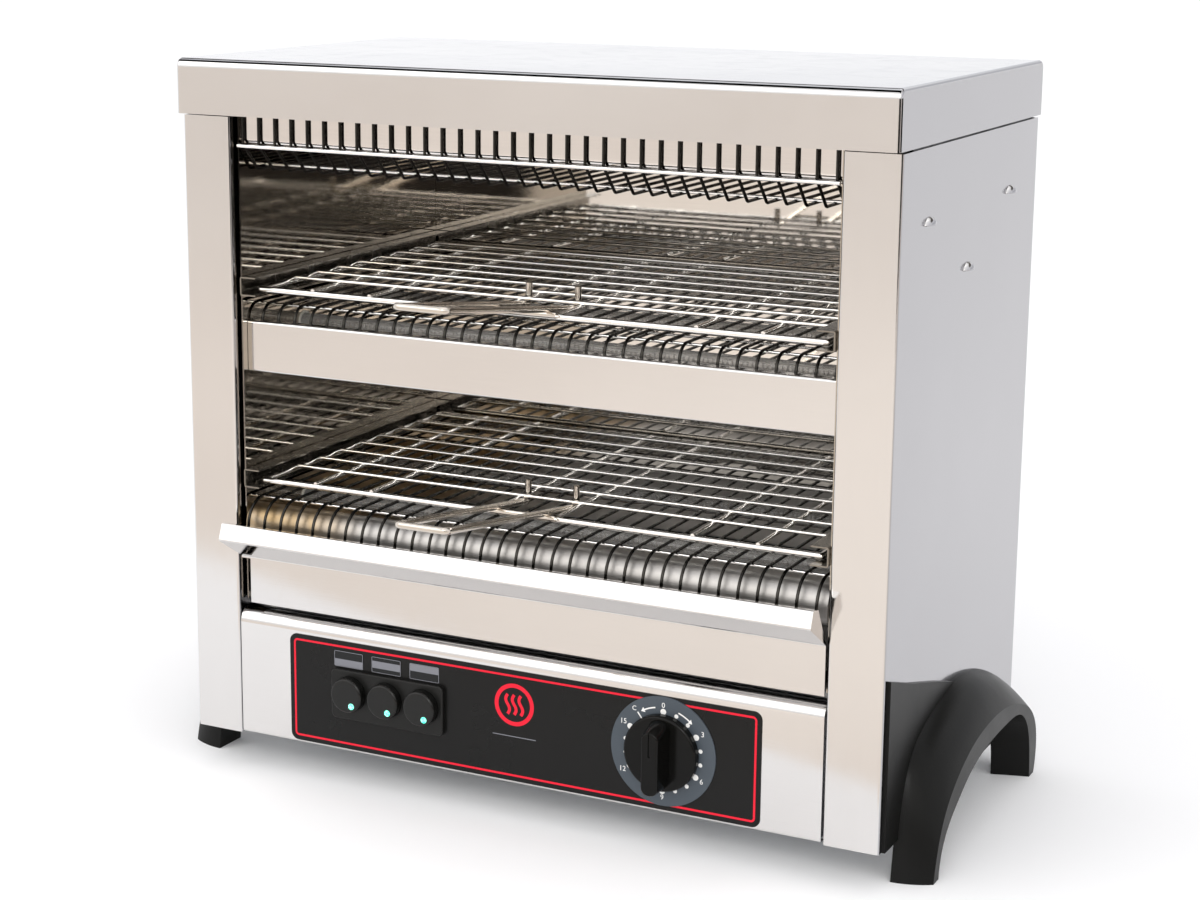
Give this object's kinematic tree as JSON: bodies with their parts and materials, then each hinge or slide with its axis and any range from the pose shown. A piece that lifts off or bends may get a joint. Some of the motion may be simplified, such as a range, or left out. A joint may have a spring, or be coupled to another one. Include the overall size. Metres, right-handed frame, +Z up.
{
  "type": "open two-level quartz toaster",
  "caption": "Countertop open-front toaster with stacked sliding wire racks between guarded quartz heaters, a crumb tray, push buttons and a rotary timer, on arched feet.",
  "frame": {"origin": "on the floor under the middle of the overall box", "axes": "+Z up, the open front faces -Y, +X to the right seen from the front"},
  "size_m": [0.59, 0.444, 0.524],
  "materials": {
    "cover_steel": "bright polished stainless sheet",
    "side_steel": "bright polished stainless sheet",
    "front_steel": "bright polished stainless sheet",
    "back_steel": "satin stainless sheet",
    "inner_steel": "polished, heat-darkened stainless",
    "rail_steel": "folded stainless, heat-darkened",
    "tray_steel": "satin stainless sheet",
    "tray_front_steel": "bright polished stainless sheet",
    "reflector_steel": "mirror polished, tinted by heat",
    "galvanised": "galvanised sheet",
    "plated_steel": "zinc plated",
    "guard_wire": "heat-darkened welded wire",
    "rack_chrome": "bright chromed wire",
    "handle_steel": "bright chromed wire",
    "coil_wire": "resistance wire",
    "quartz": "clear fused quartz",
    "ceramic": "unglazed steatite",
    "label_black": "printed film, satin black",
    "window_grey": "printed film window",
    "bezel_black": "moulded",
    "button_black": "moulded",
    "lens_green": "lit signal lens",
    "dial_grey": "printed scale disc",
    "knob_black": "moulded",
    "print_white": "printed marks",
    "print_red": "printed line",
    "switch_grey": "moulded",
    "terminal_white": "moulded polyamide",
    "gland_black": "moulded polyamide",
    "loom_sleeve": "braided glass sleeve",
    "foot_black": "fine-grained moulding"
  },
  "bodies": {
    "casing": {"back_panel": "back_steel", "back_screws": "plated_steel", "base_pan": "galvanised", "bottom_heat_switch": "switch_grey", "button_bezel": "bezel_black", "cable_gland": "gland_black", "control_panel": "front_steel", "dial_plate": "dial_grey", "end_caps": "ceramic", "foot_screws": "plated_steel", "heating_coils": "coil_wire", "inner_back_wall": "inner_steel", "left_foot": "foot_black", "left_inner_wall": "inner_steel", "left_lower_rail": "rail_steel", "left_side_panel": "side_steel", "left_upper_rail": "rail_steel", "lower_guard": "guard_wire", "lower_reflector": "reflector_steel", "lower_tube_front": "quartz", "lower_tube_rear": "quartz", "mid_front_bar": "front_steel", "middle_guard_high": "guard_wire", "middle_guard_low": "guard_wire", "middle_heat_switch": "switch_grey", "middle_tube_front": "quartz", "middle_tube_rear": "quartz", "panel_label": "label_black", "right_foot": "foot_black", "right_inner_wall": "inner_steel", "right_lower_rail": "rail_steel", "right_side_panel": "side_steel", "right_upper_rail": "rail_steel", "roof_frame": "galvanised", "symbol_windows": "window_grey", "terminal_block": "terminal_white", "timer_body": "switch_grey", "top_cover": "cover_steel", "top_heat_switch": "switch_grey", "tray_deck": "galvanised", "upper_guard": "guard_wire", "upper_reflector": "reflector_steel", "upper_tube_front": "quartz", "upper_tube_rear": "quartz", "wiring_loom": "loom_sleeve"},
    "bottom_button": {"bottom_heat_button": "button_black", "bottom_heat_lens": "lens_green"},
    "middle_button": {"middle_heat_button": "button_black", "middle_heat_lens": "lens_green"},
    "top_button": {"top_heat_button": "button_black", "top_heat_lens": "lens_green"},
    "timer": {"timer_knob": "knob_black", "timer_shaft": "plated_steel"},
    "upper_shelf": {"upper_rack": "rack_chrome", "upper_rack_handle": "handle_steel"},
    "lower_shelf": {"lower_rack": "rack_chrome", "lower_rack_handle": "handle_steel"},
    "tray": {"crumb_tray": "tray_steel", "tray_front": "tray_front_steel"}
  },
  "joints": [
    {"name": "bottom_button_press", "type": "slide", "parent": "casing", "child": "bottom_button", "axis": [0, 1, 0], "range_m": [0, 0.003], "stiffness_N_per_m": 400, "springref_m": -0.002},
    {"name": "middle_button_press", "type": "slide", "parent": "casing", "child": "middle_button", "axis": [0, 1, 0], "range_m": [0, 0.003], "stiffness_N_per_m": 400, "springref_m": -0.002},
    {"name": "top_button_press", "type": "slide", "parent": "casing", "child": "top_button", "axis": [0, 1, 0], "range_m": [0, 0.003], "stiffness_N_per_m": 400, "springref_m": -0.002},
    {"name": "timer_turn", "type": "hinge", "parent": "casing", "child": "timer", "pos_m": [0.114, -0.0927, 0.073], "axis": [0, 1, 0], "range_deg": [-30, 300]},
    {"name": "upper_rack_slide", "type": "slide", "parent": "casing", "child": "upper_shelf", "axis": [0, -1, 0], "range_m": [0, 0.24]},
    {"name": "lower_rack_slide", "type": "slide", "parent": "casing", "child": "lower_shelf", "axis": [0, -1, 0], "range_m": [0, 0.24]},
    {"name": "tray_slide", "type": "slide", "parent": "casing", "child": "tray", "axis": [0, -1, 0], "range_m": [0, 0.25]}
  ]
}
